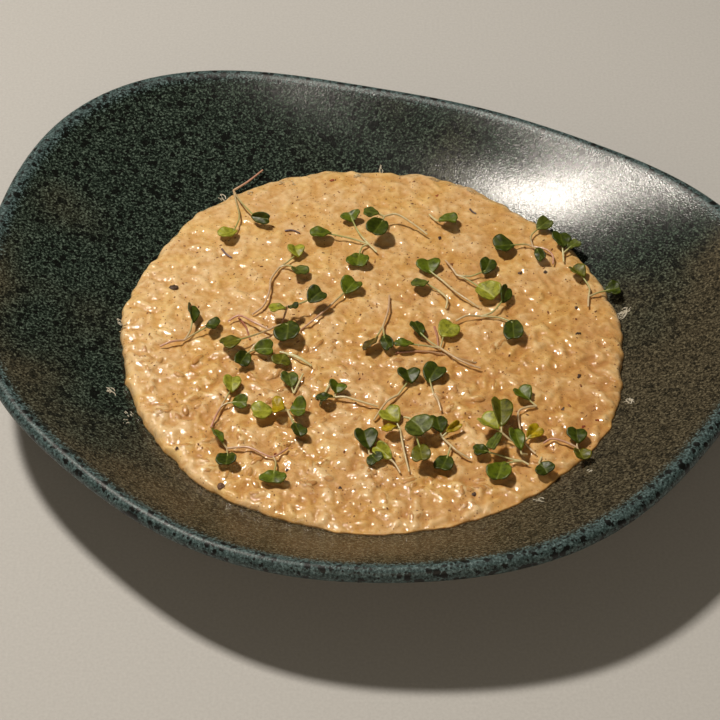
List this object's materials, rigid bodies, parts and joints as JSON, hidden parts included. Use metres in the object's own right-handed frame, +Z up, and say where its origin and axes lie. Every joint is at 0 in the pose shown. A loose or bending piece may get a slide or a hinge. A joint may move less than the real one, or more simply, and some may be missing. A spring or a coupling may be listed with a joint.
{
  "type": "mushroom risotto in a bowl",
  "caption": "Creamy risotto filling the well of a shallow pebble-shaped dark stoneware bowl, strewn with small cress sprigs.",
  "frame": {"origin": "middle of the bowl's outline, on the surface that its foot ring stands on", "axes": "+Z up out of the bowl, +X along the bowl's longer side, to the right in the picture, +Y away from the picture's camera"},
  "size_m": [0.2898, 0.262, 0.0438],
  "materials": {
    "glaze": "dark green-black speckled reactive glaze, satin gloss",
    "risotto": "moist creamy rice in a tan sauce, stands in as a soft glossy plastic",
    "leaf": "fresh green seed leaves on pale to pink stems, satin"
  },
  "bodies": {
    "root": {"bowl": "glaze", "risotto": "risotto", "sprig_a": "leaf", "sprig_aa_foot": "leaf", "sprig_aa_left": "leaf", "sprig_aa_mid": "leaf", "sprig_aa_right": "leaf", "sprig_aa_top": "leaf", "sprig_ab": "leaf", "sprig_b": "leaf", "sprig_c": "leaf", "sprig_d_foot": "leaf", "sprig_d_low": "leaf", "sprig_d_mid": "leaf", "sprig_d_right": "leaf", "sprig_d_top": "leaf", "sprig_e": "leaf", "sprig_f": "leaf", "sprig_h": "leaf", "sprig_j_left": "leaf", "sprig_j_right": "leaf", "sprig_k": "leaf", "sprig_l": "leaf", "sprig_n_left": "leaf", "sprig_n_right": "leaf", "sprig_o": "leaf", "sprig_p": "leaf", "sprig_q": "leaf", "sprig_t": "leaf", "sprig_u": "leaf", "sprig_v": "leaf", "sprig_w": "leaf", "sprig_x": "leaf", "sprig_y_left": "leaf", "sprig_y_right": "leaf", "sprig_z_left": "leaf", "sprig_z_mid": "leaf", "sprig_z_right": "leaf", "sprig_z_top": "leaf"}
  },
  "joints": []
}
